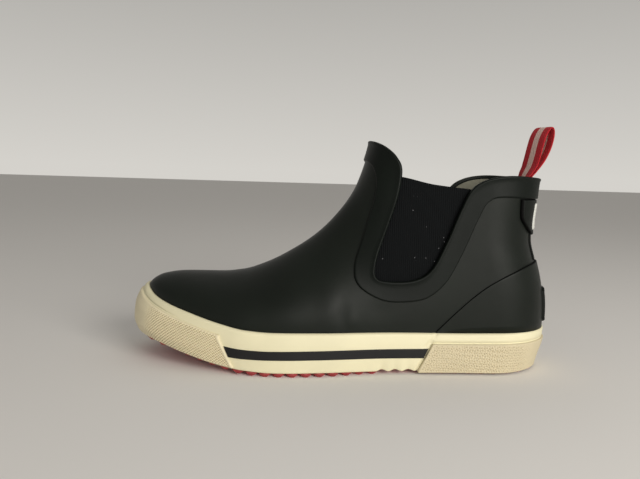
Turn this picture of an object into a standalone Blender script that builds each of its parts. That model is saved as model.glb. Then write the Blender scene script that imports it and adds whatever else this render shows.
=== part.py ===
"""Slip-on rubber ankle boot, left foot. Sizes are in millimetres; the objects are in metres.

X runs from the toe (minus) to the heel (plus), the outer side of the foot is -Y, and Z is up from the floor.
"""

import bmesh
import bpy
import numpy as np

MM = 0.001
GAP = 0.3
FAR, SKY = 90.0, 180.0

# The last, section by section. Half-widths and feather height belong to the outside of the upper,
# lift is the toe spring of the tread, and bed is the height of the footbed seat over the tread's lift.
SECTION_COLUMNS = ("x", "lateral", "medial", "feather", "lift", "bed")
SECTIONS = (
    (-128.5, 40.0, 41.0, 46.8, 14.3, 8.0),
    (-122.0, 40.5, 41.3, 42.3, 13.4, 8.0),
    (-112.5, 41.0, 41.8, 38.8, 11.6, 8.0),
    (-97.0, 42.0, 42.4, 34.8, 7.6, 8.0),
    (-77.0, 43.3, 43.0, 29.9, 3.0, 8.2),
    (-60.0, 44.5, 42.8, 26.8, 0.8, 8.4),
    (-45.0, 44.5, 40.6, 25.9, 0.0, 8.7),
    (-15.0, 42.5, 34.0, 25.9, 0.0, 9.0),
    (25.0, 37.0, 29.5, 26.0, 0.0, 10.5),
    (66.0, 33.5, 31.0, 25.7, 0.0, 11.5),
    (100.0, 32.5, 32.0, 26.2, 0.0, 12.0),
    (132.4, 31.5, 31.5, 26.8, 0.0, 12.0),
)
TOE_X, HEEL_X = SECTIONS[0][0], SECTIONS[-1][0]
TOE_CAP, TOE_POWER = 73.5, 2.2
HEEL_CAP, HEEL_POWER = 36.0, 2.2
TOE_SHIFT, TOE_SHIFT_FROM, TOE_SHIFT_LENGTH = 5.0, -30.0, 100.0
ARCH_POWER, ARCH_ROOT = 2.1, 2.0
SHAFT_HALF, SHAFT_FROM, SHAFT_RISE = 31.0, 30.0, 75.0

# Side view: the ridge from the toe over the instep to the front of the collar (x, z),
# and the back of the upper (z, x).
RIDGE = (
    (-128.5, 46.8),
    (-126.0, 49.6),
    (-119.0, 53.0),
    (-106.0, 54.9),
    (-80.0, 55.5),
    (-66.0, 57.4),
    (-50.0, 63.2),
    (-35.5, 71.0),
    (-18.0, 83.2),
    (-4.0, 97.8),
    (6.0, 113.0),
    (11.0, 126.0),
    (16.2, 146.0),
    (17.6, 153.0),
    (60.0, 365.0),
    (140.0, 765.0),
)
RIDGE_TOP = 17.4
BACK = (
    (26.8, 132.4),
    (40.0, 132.0),
    (55.0, 130.2),
    (70.0, 126.2),
    (84.0, 122.6),
    (94.0, 122.2),
    (108.0, 123.3),
    (132.0, 125.2),
)
BACK_TOP = 131.0

# Offsets out from the feather outline at the side, the toe and the heel,
# by height from the foxing's foot (0) to the feather line (1).
LAST_LEAN = (
    (0.00, -0.4, 2.5, -6.0),
    (0.30, 0.0, 5.0, -3.6),
    (0.60, 0.0, 4.0, -1.4),
    (0.90, 0.0, 0.8, -0.1),
    (1.00, 0.0, 0.0, 0.0),
)
FOXING_LEAN = (
    (0.00, 3.4, 5.3, -2.9),
    (0.30, 3.9, 8.3, -1.0),
    (0.60, 3.8, 7.6, 1.1),
    (0.90, 3.2, 4.1, 2.4),
    (1.00, 2.4, 2.2, 2.4),
)
TOE_LEAN_FROM, TOE_LEAN_LENGTH = -70.0, 52.0
HEEL_LEAN_FROM, HEEL_LEAN_LENGTH = 92.0, 40.0

WALL = 1.8
FOXING_FOOT = 2.3
RIM_TOP, RIM_FOOT, RIM_INSET = 2.0, 1.4, 0.9
INSOLE_THICK, INSOLE_CLEAR = 3.5, 1.2
TUCK = 0.35

LUG_PITCH, LUG_WIDTH, LUG_WAVE, LUG_WAVE_STEP = 7.6, 3.8, 1.8, 10.5
LUG_SINK, LUG_INSET = 0.35, 1.2
LUG_ROWS = ((-105.4, 15), (61.0, 8))

# Side view outlines (x, z): the edge of the upper round the collar and the elastic, the outer edge of
# its raised trim, the elastic behind the opening, and the top of the heel counter.
OPENING = (
    (4.0, 149.5),
    (14.9, 144.9),
    (23.2, 140.3),
    (29.5, 134.4),
    (33.0, 126.0),
    (30.9, 109.4),
    (25.4, 91.3),
    (19.1, 72.0),
    (18.2, 60.4),
    (26.0, 57.4),
    (42.6, 58.5),
    (53.6, 65.6),
    (62.9, 84.2),
    (69.8, 102.0),
    (76.4, 115.4),
    (85.4, 121.6),
    (98.0, 124.3),
    (113.0, 124.3),
    (131.0, 123.0),
    (150.0, 121.5),
)
TRIM_EDGE = (
    (0.0, 135.5),
    (11.8, 132.6),
    (17.6, 124.0),
    (17.4, 109.0),
    (10.3, 83.5),
    (5.2, 66.0),
    (8.0, 54.5),
    (22.0, 46.3),
    (36.3, 44.9),
    (51.0, 47.6),
    (63.0, 58.0),
    (72.5, 76.0),
    (81.6, 98.0),
    (87.4, 108.2),
    (98.0, 111.2),
    (131.0, 110.0),
    (150.0, 109.0),
)
GORE_EDGE = (
    (27.0, 122.8),
    (24.4, 109.4),
    (18.6, 91.3),
    (12.4, 71.0),
    (13.0, 56.0),
    (25.0, 51.2),
    (43.0, 52.3),
    (57.0, 60.8),
    (67.5, 80.0),
    (75.0, 98.0),
    (81.5, 113.0),
    (82.0, 115.2),
    (54.0, 118.0),
)
COUNTER_EDGE = (
    (54.0, 23.0),
    (61.2, 30.2),
    (69.0, 38.0),
    (80.4, 48.6),
    (91.7, 57.1),
    (105.1, 64.2),
    (121.3, 69.4),
    (150.0, 71.5),
)
# Back view outlines (y, z), one half each.
PATCH_HALF = ((0.0, 86.8), (13.0, 87.6), (21.0, 92.0), (25.2, 99.0), (26.0, 109.2))
STRIP_HALF = ((15.5, 72.4), (15.5, 86.2))
KICK_HALF = ((11.0, 29.6), (14.0, 32.5), (14.0, 49.5), (11.0, 52.6))
LABEL_HALF = ((16.0, 90.5), (16.5, 91.5), (16.5, 107.0), (16.0, 108.0))

BACK_REACH = (100.0, 160.0)

# Raised layers: inner and outer offset from the upper.
TRIM_LAYER = (0.6, 1.7)
TRIM_BACK_EXTRA, TRIM_BACK_FROM, TRIM_BACK_LENGTH = 1.5, 95.0, 30.0
COUNTER_LAYER = (GAP, 1.5)
STRIP_LAYER = (GAP, 1.1)
PATCH_LAYER = (GAP, 2.4)
LABEL_LAYER = (2.7, 3.3)
KICK_LAYER = (1.8, 3.8)
GORE_LAYER, GORE_FROM = (-WALL - 2.2, -WALL - 0.7), 8.0

# Strips on the foxing: slanting ends as (x at the top, x at the foot), and edges from the foot to the
# top as rows of (x, height share), each from the strip's end.
STRIP_FOOT = 0.03
BUMPER_END, BUMPER_LAYER = (-75.0, -66.0), (GAP, 1.7)
BUMPER_EDGES = (
    ((-75.0, STRIP_FOOT),),
    ((-75.0, 0.3),),
    ((-75.0, 0.6),),
    ((-75.0, 0.77), (-97.0, 0.80), (-117.0, 0.86), (-128.5, 0.90)),
)
HEEL_END, HEEL_LAYER = (54.7, 46.2), (GAP, 1.7)
HEEL_EDGES = (((46.2, STRIP_FOOT),), ((46.2, 0.3),), ((46.2, 0.6),), ((46.2, 0.74),))
STRIPE_LAYER, STRIPE_CLEAR = (0.4, 1.0), 1.4
STRIPE_EDGES = (
    ((54.7, 0.355), (-40.0, 0.335), (-75.0, 0.265)),
    ((54.7, 0.610), (-40.0, 0.565), (-75.0, 0.520)),
)

# Webbing loop: centre line in side view (x, z), up the rear leg and down the front one.
LOOP = (
    (118.9, 107.0),
    (118.9, 116.0),
    (119.0, 123.0),
    (121.2, 127.5),
    (124.0, 132.0),
    (126.8, 137.0),
    (129.4, 143.5),
    (130.8, 150.0),
    (130.8, 154.6),
    (129.6, 156.6),
    (127.6, 154.8),
    (125.6, 150.5),
    (124.1, 144.5),
    (122.8, 138.0),
    (121.2, 131.5),
    (119.1, 127.0),
    (117.3, 122.5),
    (117.1, 115.0),
    (117.1, 107.0),
)
LOOP_WIDTH, LOOP_THICK, LOOP_Y = 16.0, 1.2, -1.5
LOOP_TURN = ((107.0, 4.0), (122.0, 5.0), (128.0, 15.0), (135.0, 20.0), (158.0, 20.0))
LOOP_STEPS = 3

COLUMNS, UPPER_RINGS, EDGE_STEPS = 52, 12, 3
HEM_HEIGHTS, RING_CROWD, ABOVE_FEATHER = (0.6, 0.9), 1.3, 0.008
END_SPACE, RIDGE_SAMPLES = 0.02, 400
TURNS = 2 * np.pi * np.arange(COLUMNS) / COLUMNS


def smooth(rows, at):
    """A monotone cubic through rows of (place, value)."""
    place, value = np.array(rows, float).T
    step = np.diff(place)
    slope = np.diff(value) / step
    tangent = np.concatenate([slope[:1], np.zeros(len(slope) - 1), slope[-1:]])
    turning = slope[1:] * slope[:-1] <= 0
    before, after = 2 * step[1:] + step[:-1], step[1:] + 2 * step[:-1]
    safe_before = np.where(turning, 1.0, slope[:-1])
    safe_after = np.where(turning, 1.0, slope[1:])
    mean = (before + after) / (before / safe_before + after / safe_after)
    tangent[1:-1] = np.where(turning, 0.0, mean)
    at = np.clip(np.asarray(at, float), place[0], place[-1])
    k = np.clip(np.searchsorted(place, at) - 1, 0, len(step) - 1)
    t = (at - place[k]) / step[k]
    rise = (value[k + 1] - value[k]) * t * t * (3 - 2 * t)
    bend = step[k] * (tangent[k] * t * (1 - t) ** 2 - tangent[k + 1] * t * t * (1 - t))
    return value[k] + rise + bend


def ease(at, begin, length):
    t = np.clip((np.asarray(at, float) - begin) / length, 0, 1)
    return t * t * (3 - 2 * t)


def section(column, x):
    k = SECTION_COLUMNS.index(column)
    return smooth([(row[0], row[k]) for row in SECTIONS], x)


def lean(rows, height, x):
    """Offset out from the feather outline, blended between the side, the toe and the heel."""
    heights, *offsets = np.array(rows).T
    side, toe, heel = (np.interp(height, heights, offset) for offset in offsets)
    at_toe = ease(-np.asarray(x), -TOE_LEAN_FROM, TOE_LEAN_LENGTH)
    at_heel = ease(x, HEEL_LEAN_FROM, HEEL_LEAN_LENGTH)
    return side * (1 - at_toe - at_heel) + toe * at_toe + heel * at_heel


def spline(points, steps=EDGE_STEPS):
    """Catmull-Rom curve through the points, steps pieces between each two."""
    p = np.array(points, float)
    p = np.concatenate([2 * p[:1] - p[1:2], p, 2 * p[-1:] - p[-2:-1]])
    t = np.arange(steps)[:, None] / steps
    pieces = []
    for a, b, c, d in zip(p[:-3], p[1:-2], p[2:-1], p[3:]):
        even = 2 * b + (c - a) * t
        odd = (2 * a - 5 * b + 4 * c - d) * t**2 + (3 * b - a - 3 * c + d) * t**3
        pieces.append((even + odd) / 2)
    return np.concatenate([*pieces, p[-2:-1]])


def round_end(distance, length, power):
    """One inside a section, falling to nought in a round end."""
    t = np.clip(distance / length, 0, 1)
    return np.clip(1 - t**power, 0, 1) ** (1 / power)


def centre(x):
    return TOE_SHIFT * ease(-np.asarray(x), -TOE_SHIFT_FROM, TOE_SHIFT_LENGTH)


def half_width(column, x, z):
    """Half-width of the upper on one side at a place in side view."""
    shaft = ease(z, SHAFT_FROM, SHAFT_RISE)
    width = section(column, x) * (1 - shaft) + SHAFT_HALF * shaft
    width = width * round_end(TOE_X + TOE_CAP - x, TOE_CAP, TOE_POWER)
    foot = section("feather", x)
    room = np.maximum(smooth(RIDGE, x) - foot, 1e-6)
    up = np.clip((z - foot) / room, 0, 1)
    arch = (1 - up**ARCH_POWER) ** (1 / ARCH_ROOT)
    back = smooth(BACK, z)
    return width * arch * round_end(x - back + HEEL_CAP, HEEL_CAP, HEEL_POWER)


def ring(front, back, sag, turn):
    """One ring of the upper between a front and a back point (x, z in side view), at turns from the heel."""
    share = (1 - np.cos(turn)) / 2
    x = back[0] + (front[0] - back[0]) * share
    z = back[1] + (front[1] - back[1]) * share
    plan = HEEL_X + (TOE_X - HEEL_X) * share
    foot, tip, heel = section("feather", plan), SECTIONS[0][3], SECTIONS[-1][3]
    z = z + sag * (foot - heel - (tip - heel) * share)
    lateral = centre(x) - half_width("lateral", x, z)
    medial = centre(x) + half_width("medial", x, z)
    return np.stack([x, np.where(np.sin(turn) >= 0, lateral, medial), z], 1)


def ridge_points(shares):
    x = TOE_X + (RIDGE_TOP - TOE_X) * np.linspace(0, 1, RIDGE_SAMPLES) ** 2
    z = smooth(RIDGE, x)
    run = np.concatenate([[0], np.cumsum(np.hypot(np.diff(x), np.diff(z)))])
    return np.stack([np.interp(shares * run[-1], run, x), np.interp(shares * run[-1], run, z)], 1)


def upper_rings(shares):
    """Rings of the outside of the upper, from the feather line (0) to past the collar (1)."""
    fronts = ridge_points(shares)
    heights = SECTIONS[-1][3] + (BACK_TOP - SECTIONS[-1][3]) * shares
    backs = np.stack([smooth(BACK, heights), heights], 1)
    rows = zip(fronts, backs, shares)
    return np.array([ring(front, back, (1 - share) ** 2, TURNS) for front, back, share in rows])


def outline(turn):
    """The feather line at turns from the heel, outer side first."""
    return ring(RIDGE[0], BACK[0][::-1], 1.0, turn)


def wall_ring(height, rows, extra=0.0, level=None, turn=TURNS):
    """Points on the sole's side, at a height share or a level, pushed out by an extra offset."""
    loop = outline(turn)
    run = outline(turn + TURNS[1]) - outline(turn - TURNS[1])
    out = np.stack([-run[:, 1], run[:, 0]], 1) / np.hypot(run[:, 0], run[:, 1])[:, None]
    x = loop[:, 0]
    low = FOXING_FOOT + section("lift", x)
    z = low + (loop[:, 2] - low) * height if level is None else level
    share = (z - low) / (loop[:, 2] - low)
    push = lean(rows, np.clip(share, 0, 1), x) + extra
    return np.column_stack([loop[:, :2] + out * push[:, None], z])


def grid_normals(rings):
    """Outward normals of stacked rings."""
    across = np.roll(rings, -1, 1) - np.roll(rings, 1, 1)
    up = np.gradient(rings, axis=0)
    out = np.cross(across, up)
    out /= np.linalg.norm(out, axis=2)[:, :, None] + 1e-12
    middle = rings.mean((0, 1))
    return out * np.sign(((rings - middle) * out).sum())


def new_object(name, points, faces, colour, rough=0.6):
    mesh = bpy.data.meshes.new(name)
    mesh.from_pydata([tuple(p) for p in np.asarray(points) * MM], [], faces)
    mesh.validate()
    tidy = bmesh.new()
    tidy.from_mesh(mesh)
    bmesh.ops.remove_doubles(tidy, verts=tidy.verts, dist=1e-6)
    bmesh.ops.recalc_face_normals(tidy, faces=tidy.faces)
    tidy.to_mesh(mesh)
    tidy.free()
    obj = bpy.data.objects.new(name, mesh)
    if colour is None:
        obj.hide_render = True
        obj.display_type = "WIRE"
        CUTTERS.objects.link(obj)
        return obj
    material = bpy.data.materials.new(name)
    material.use_nodes = True
    shader = material.node_tree.nodes["Principled BSDF"]
    shader.inputs["Base Color"].default_value = (*colour, 1.0)
    shader.inputs["Roughness"].default_value = rough
    material.diffuse_color = (*colour, 1.0)
    mesh.materials.append(material)
    PARTS.objects.link(obj)
    return obj


def tube_faces(rings, columns, closed):
    """Quads between stacked rings; closed joins the last ring to the first."""
    faces = []
    for k in range(rings if closed else rings - 1):
        low, high = k * columns, (k + 1) % rings * columns
        for j in range(columns):
            near = (j + 1) % columns
            faces.append((low + j, low + near, high + near, high + j))
    return faces


def capped(rings, name, colour, rough=0.6):
    """A solid from stacked rings, each end filled straight across from side to side."""
    count, columns = len(rings), len(rings[0])
    faces = tube_faces(count, columns, False)
    for base in (0, (count - 1) * columns):
        for j in range(columns // 2):
            ends = (j, j + 1, (columns - j - 1) % columns, (columns - j) % columns)
            faces.append(tuple(dict.fromkeys(base + end for end in ends)))
    return new_object(name, np.concatenate(rings), faces, colour, rough)


def shell(name, rings, inner, outer, colour, rough=0.6):
    """A closed wall between two offsets of the same rings."""
    out = grid_normals(rings)
    far = rings + out * np.broadcast_to(outer, rings.shape[:2])[:, :, None]
    near = rings + out * np.broadcast_to(inner, rings.shape[:2])[:, :, None]
    sheets = np.concatenate([far, near[::-1]])
    count, columns = sheets.shape[:2]
    return new_object(name, sheets.reshape(-1, 3), tube_faces(count, columns, True), colour, rough)


def prism(name, points, axis, low, high):
    """A cutter: an outline swept along Y (side view) or X (back view)."""
    count = len(points)
    ends = []
    for level in (low, high):
        a, b = np.array(points, float).T
        fixed = np.full(count, level)
        ends.append(np.stack([a, fixed, b] if axis == "y" else [fixed, a, b], 1))
    sides = [(j, (j + 1) % count, count + (j + 1) % count, count + j) for j in range(count)]
    caps = [tuple(range(count)), tuple(range(2 * count - 1, count - 1, -1))]
    return new_object(name, np.concatenate(ends), sides + caps, None)


def up_to(line, level):
    """An outline from a line in side view and a straight level over or under it."""
    return [*line, (line[-1][0], level), (line[0][0], level)]


def both_halves(half):
    return [*half, *[(-y, z) for y, z in reversed(half) if y > 0]]


def cut(obj, cutter, operation):
    step = obj.modifiers.new(cutter.name, "BOOLEAN")
    step.operation = operation
    step.solver = "EXACT"
    step.object = cutter


def strip_on_wall(name, begin, end, edges, layer, colour):
    """A raised strip on the foxing between two ends, each a turn at a height share.

    The edges, from the foot to the top, are rows of (x, height share) that start at the strip's end.
    Between the ends the points are the foxing's own.
    """
    at_ends = [edge[0][1] for edge in edges]
    first, last = max(map(begin, at_ends)), min(map(end, at_ends))
    inside = TURNS[1] * np.arange(np.ceil(first / TURNS[1] + END_SPACE), last / TURNS[1] - END_SPACE)
    sheets = []
    for offset in layer:
        for edge, at_end in zip(edges, at_ends):
            turn = np.concatenate([[begin(at_end)], inside, [end(at_end)]])
            x, share = np.array(sorted(edge)).T
            height = np.interp(outline(turn)[:, 0], x, share)
            sheets.append(wall_ring(height, FOXING_LEAN, offset, None, turn))
    rows, columns = len(at_ends), len(inside) + 2
    half = rows * columns
    faces = []
    for k in range(rows - 1):
        for j in range(columns - 1):
            a = k * columns + j
            quad = (a, a + 1, a + columns + 1, a + columns)
            faces += [quad, tuple(half + v for v in quad)]
    edge = [*range(columns), *range(2 * columns - 1, half, columns)]
    edge += [*range(half - 2, half - columns - 1, -1), *range(half - 2 * columns, 0, -columns)]
    faces += [(a, b, half + b, half + a) for a, b in zip(edge, edge[1:] + edge[:1])]
    return new_object(name, np.concatenate(sheets), faces, colour, 0.7)


def turn_at(x, side):
    """The turn round the outline where a side passes x."""
    turn = np.arccos(np.clip((2 * x - HEEL_X - TOE_X) / (HEEL_X - TOE_X), -1, 1))
    return turn if side == "lateral" else 2 * np.pi - turn


def slant(ends, top, side, clear=0.0):
    """The turn of a slanting end at a height share, from its x at the top and at the foot."""
    return lambda height: turn_at(np.interp(height, (STRIP_FOOT, top), ends[::-1]) + clear, side)


def lug(row_x):
    """One zigzag bar of the tread across the sole, as (points, faces)."""
    loop = wall_ring(0.0, FOXING_LEAN, -RIM_INSET - LUG_INSET)
    half = COLUMNS // 2
    y_low = np.interp(-row_x, -loop[: half + 1, 0], loop[: half + 1, 1])
    medial = loop[np.arange(COLUMNS, half - 1, -1) % COLUMNS]
    y_high = np.interp(-row_x, -medial[:, 0], medial[:, 1])
    y = np.linspace(y_low, y_high, max(4, round((y_high - y_low) / LUG_WAVE_STEP)))
    wave = LUG_WAVE * (-1.0) ** np.arange(len(y))
    points = []
    for side in (-1, 1):
        for level in (0.0, RIM_FOOT + LUG_SINK):
            x = row_x + wave + side * LUG_WIDTH / 2
            points.append(np.stack([x, y, section("lift", x) + level], 1))
    n = len(y)
    faces = []
    for a, b in ((0, 1), (1, 3), (3, 2), (2, 0)):
        faces += [(a * n + j, a * n + j + 1, b * n + j + 1, b * n + j) for j in range(n - 1)]
    faces += [(0, n, 3 * n, 2 * n), (n - 1, 2 * n - 1, 4 * n - 1, 3 * n - 1)]
    return np.concatenate(points), faces


def build_sole():
    along = outline(TURNS)[:, 0]
    lift = section("lift", along)
    bed = lift + section("bed", along)
    rim = wall_ring(0.0, FOXING_LEAN, -RIM_INSET)
    rim_low, rim_high = rim.copy(), rim.copy()
    rim_low[:, 2] = RIM_FOOT + lift
    rim_high[:, 2] = RIM_TOP + lift
    core_low = wall_ring(0.0, LAST_LEAN, -TUCK)
    core_low[:, 2] = RIM_TOP + lift
    core_high = wall_ring(0.0, LAST_LEAN, -TUCK, bed)
    outsole = capped([rim_low, rim_high, core_low, core_high], "outsole", RED, 0.7)
    for start, count in LUG_ROWS:
        for k in range(count):
            points, faces = lug(start + k * LUG_PITCH)
            bar = new_object(f"cut_lug_{start:.0f}_{k}", points, faces, None)
            cut(outsole, bar, "UNION")

    outer = [wall_ring(row[0], FOXING_LEAN) for row in FOXING_LEAN]
    inner = [wall_ring(row[0], LAST_LEAN, GAP) for row in reversed(LAST_LEAN)]
    rings = np.array(outer + inner)
    faces = tube_faces(len(rings), COLUMNS, True)
    new_object("foxing", rings.reshape(-1, 3), faces, CREAM, 0.7)

    low = bed + GAP
    sides = [
        wall_ring(0.0, LAST_LEAN, -WALL - INSOLE_CLEAR, level)
        for level in (low, low + INSOLE_THICK)
    ]
    capped(sides, "insole", PALE, 0.9)

    bumper_edge, heel_edge = BUMPER_EDGES[-1][0][1], HEEL_EDGES[-1][0][1]
    strip_on_wall(
        "toe_bumper",
        slant(BUMPER_END, bumper_edge, "lateral"),
        slant(BUMPER_END, bumper_edge, "medial"),
        BUMPER_EDGES,
        BUMPER_LAYER,
        CREAM,
    )
    medial_end = slant(HEEL_END, heel_edge, "medial")
    strip_on_wall(
        "heel_foxing",
        lambda height: medial_end(height) - 2 * np.pi,
        slant(HEEL_END, heel_edge, "lateral"),
        HEEL_EDGES,
        HEEL_LAYER,
        CREAM,
    )
    for side in ("lateral", "medial"):
        ends = [
            slant(HEEL_END, heel_edge, side, -STRIPE_CLEAR),
            slant(BUMPER_END, bumper_edge, side, STRIPE_CLEAR),
        ]
        begin, end = ends if side == "lateral" else reversed(ends)
        strip_on_wall("stripe_" + side, begin, end, STRIPE_EDGES, STRIPE_LAYER, BLACK)


def build_upper():
    along = outline(TURNS)[:, 0]
    bed = section("lift", along) + section("bed", along)
    hem = [wall_ring(0.0, LAST_LEAN, -TUCK, bed + GAP)]
    hem += [wall_ring(height, LAST_LEAN, -TUCK) for height in HEM_HEIGHTS]
    shares = np.linspace(0, 1, UPPER_RINGS + 1) ** RING_CROWD
    body = upper_rings(shares)
    upper = shell("upper", np.concatenate([np.array(hem), body]), -WALL, 0.0, BLACK)

    opening = prism("cut_opening", up_to(spline(OPENING), SKY), "y", -FAR, FAR)
    cut(upper, opening, "DIFFERENCE")

    trim_zone = prism("cut_trim", up_to(spline(TRIM_EDGE), SKY), "y", -FAR, FAR)
    extra = TRIM_BACK_EXTRA * ease(body[:, :, 0], TRIM_BACK_FROM, TRIM_BACK_LENGTH)
    trim = shell("collar_trim", body, TRIM_LAYER[0], TRIM_LAYER[1] + extra, BLACK)
    cut(trim, opening, "DIFFERENCE")
    cut(trim, trim_zone, "INTERSECT")

    raised = upper_rings(np.concatenate([[ABOVE_FEATHER], shares[1:]]))
    counter = shell("counter", raised, *COUNTER_LAYER, BLACK)
    counter_zone = up_to(spline(COUNTER_EDGE), 0.0)
    cut(counter, prism("cut_counter", counter_zone, "y", -FAR, FAR), "INTERSECT")

    gore_zone = [*spline(GORE_EDGE[:-1]), GORE_EDGE[-1]]
    for side, low, high in (("lateral", -FAR, -GORE_FROM), ("medial", GORE_FROM, FAR)):
        gore = shell("gore_" + side, body, *GORE_LAYER, DARK, 0.9)
        cut(gore, prism("cut_gore_" + side, gore_zone, "y", low, high), "INTERSECT")

    backs = (
        ("back_strip", STRIP_HALF, STRIP_LAYER, BLACK),
        ("back_patch", [*spline(PATCH_HALF)], PATCH_LAYER, BLACK),
        ("back_label", LABEL_HALF, LABEL_LAYER, PALE),
        ("heel_kick", KICK_HALF, KICK_LAYER, BLACK),
    )
    for name, half, layer, colour in backs:
        piece = shell(name, raised, *layer, colour)
        zone = both_halves([tuple(p) for p in half])
        cut(piece, prism("cut_" + name, zone, "x", *BACK_REACH), "INTERSECT")


def build_loop():
    line = spline(LOOP, LOOP_STEPS)
    run = np.gradient(line, axis=0)
    run /= np.linalg.norm(run, axis=1)[:, None]
    turn = np.radians(smooth(LOOP_TURN, line[:, 1]))
    wide = np.stack([np.sin(turn), -np.cos(turn), 0 * turn], 1)
    along = np.stack([run[:, 0] * np.cos(turn), run[:, 0] * np.sin(turn), run[:, 1]], 1)
    thick = np.cross(wide, along)
    thick /= np.linalg.norm(thick, axis=1)[:, None]
    middle = np.stack([line[:, 0], np.full(len(line), LOOP_Y), line[:, 1]], 1)
    corners = ((-1, -1), (1, -1), (1, 1), (-1, 1))
    rings = [middle + wide * a * LOOP_WIDTH / 2 + thick * b * LOOP_THICK / 2 for a, b in corners]
    points = np.stack(rings, 1)
    faces = tube_faces(len(points), 4, False)
    last = 4 * (len(points) - 1)
    faces += [(0, 1, 2, 3), (last, last + 1, last + 2, last + 3)]
    new_object("pull_loop", points.reshape(-1, 3), faces, LOOP_RED, 0.9)


def centre_on_floor():
    """Moves every object, so that the middle of the boot's box stands on the origin."""
    bpy.context.view_layer.update()
    graph = bpy.context.evaluated_depsgraph_get()
    corners = np.array([corner for part in PARTS.objects for corner in part.evaluated_get(graph).bound_box])
    low, high = corners.min(0), corners.max(0)
    for obj in (*PARTS.objects, *CUTTERS.objects):
        obj.location = (-(low[0] + high[0]) / 2, -(low[1] + high[1]) / 2, -low[2])


for stale in list(bpy.data.objects):
    bpy.data.objects.remove(stale)
PARTS = bpy.data.collections.new("rubber_ankle_boot")
CUTTERS = bpy.data.collections.new("cutters")
bpy.context.scene.collection.children.link(PARTS)
bpy.context.scene.collection.children.link(CUTTERS)
BLACK = (0.022, 0.025, 0.026)
DARK = (0.010, 0.012, 0.014)
CREAM = (0.78, 0.70, 0.50)
RED = (0.40, 0.05, 0.055)
LOOP_RED = (0.42, 0.03, 0.035)
PALE = (0.55, 0.55, 0.53)
build_sole()
build_upper()
build_loop()
centre_on_floor()
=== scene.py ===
"""Looks of the rubber ankle boot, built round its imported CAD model.

Sizes are in millimetres until a mesh is made. The tables of the last, the edges and the sole repeat the CAD
source, so that every piece lies on its solid.
"""

import math

import bpy
import numpy as np
from mathutils import Matrix, Vector


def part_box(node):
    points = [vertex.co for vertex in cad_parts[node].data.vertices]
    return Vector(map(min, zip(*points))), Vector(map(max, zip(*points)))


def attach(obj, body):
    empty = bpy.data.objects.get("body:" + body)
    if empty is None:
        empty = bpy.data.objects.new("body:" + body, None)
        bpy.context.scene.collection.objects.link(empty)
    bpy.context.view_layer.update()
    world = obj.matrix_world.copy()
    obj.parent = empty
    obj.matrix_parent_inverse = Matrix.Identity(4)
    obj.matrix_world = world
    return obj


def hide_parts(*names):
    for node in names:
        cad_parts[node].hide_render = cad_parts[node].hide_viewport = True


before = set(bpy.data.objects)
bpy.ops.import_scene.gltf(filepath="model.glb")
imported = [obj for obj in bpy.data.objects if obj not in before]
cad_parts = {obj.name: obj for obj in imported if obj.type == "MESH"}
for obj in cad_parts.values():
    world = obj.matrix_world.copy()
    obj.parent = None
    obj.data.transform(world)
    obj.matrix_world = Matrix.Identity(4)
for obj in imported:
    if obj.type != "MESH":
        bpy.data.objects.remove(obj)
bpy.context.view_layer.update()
scene = bpy.context.scene

MM = 0.001
TINY = 1e-6
SIDES = ("lateral", "medial")

# The last, section by section: half-widths and feather height of the upper, toe spring and footbed seat.
SECTION_COLUMNS = ("x", "lateral", "medial", "feather", "lift", "bed")
SECTIONS = (
    (-128.5, 40.0, 41.0, 46.8, 14.3, 8.0),
    (-122.0, 40.5, 41.3, 42.3, 13.4, 8.0),
    (-112.5, 41.0, 41.8, 38.8, 11.6, 8.0),
    (-97.0, 42.0, 42.4, 34.8, 7.6, 8.0),
    (-77.0, 43.3, 43.0, 29.9, 3.0, 8.2),
    (-60.0, 44.5, 42.8, 26.8, 0.8, 8.4),
    (-45.0, 44.5, 40.6, 25.9, 0.0, 8.7),
    (-15.0, 42.5, 34.0, 25.9, 0.0, 9.0),
    (25.0, 37.0, 29.5, 26.0, 0.0, 10.5),
    (66.0, 33.5, 31.0, 25.7, 0.0, 11.5),
    (100.0, 32.5, 32.0, 26.2, 0.0, 12.0),
    (132.4, 31.5, 31.5, 26.8, 0.0, 12.0),
)
TOE_X, HEEL_X = SECTIONS[0][0], SECTIONS[-1][0]
TOE_FEATHER, HEEL_FEATHER = SECTIONS[0][3], SECTIONS[-1][3]
TOE_CAP, TOE_POWER = 73.5, 2.2
HEEL_CAP, HEEL_POWER = 36.0, 2.2
# Pairs for ease give where it begins and its length; those towards the toe count from the middle.
TOE_SHIFT, TOE_SHIFT_EASE = 5.0, (30.0, 100.0)
ARCH_POWER, ARCH_ROOT = 2.1, 2.0
SHAFT_HALF, SHAFT_EASE = 31.0, (30.0, 75.0)
RIDGE = (
    (-128.5, 46.8), (-126.0, 49.6), (-119.0, 53.0), (-106.0, 54.9), (-80.0, 55.5), (-66.0, 57.4),
    (-50.0, 63.2), (-35.5, 71.0), (-18.0, 83.2), (-4.0, 97.8), (6.0, 113.0), (11.0, 126.0),
    (16.2, 146.0), (17.6, 153.0), (60.0, 365.0), (140.0, 765.0),
)
RIDGE_TOP = 17.4
BACK = (
    (26.8, 132.4), (40.0, 132.0), (55.0, 130.2), (70.0, 126.2), (84.0, 122.6), (94.0, 122.2),
    (108.0, 123.3), (132.0, 125.2),
)
BACK_TOP = 131.0
LAST_LEAN = (
    (0.0, -0.4, 2.5, -6.0), (0.3, 0.0, 5.0, -3.6), (0.6, 0.0, 4.0, -1.4),
    (0.9, 0.0, 0.8, -0.1), (1.0, 0.0, 0.0, 0.0),
)
FOXING_LEAN = (
    (0.0, 3.4, 5.3, -2.9), (0.3, 3.9, 8.3, -1.0), (0.6, 3.8, 7.6, 1.1),
    (0.9, 3.2, 4.1, 2.4), (1.0, 2.4, 2.2, 2.4),
)
TOE_LEAN_EASE, HEEL_LEAN_EASE = (70.0, 52.0), (92.0, 40.0)
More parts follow.
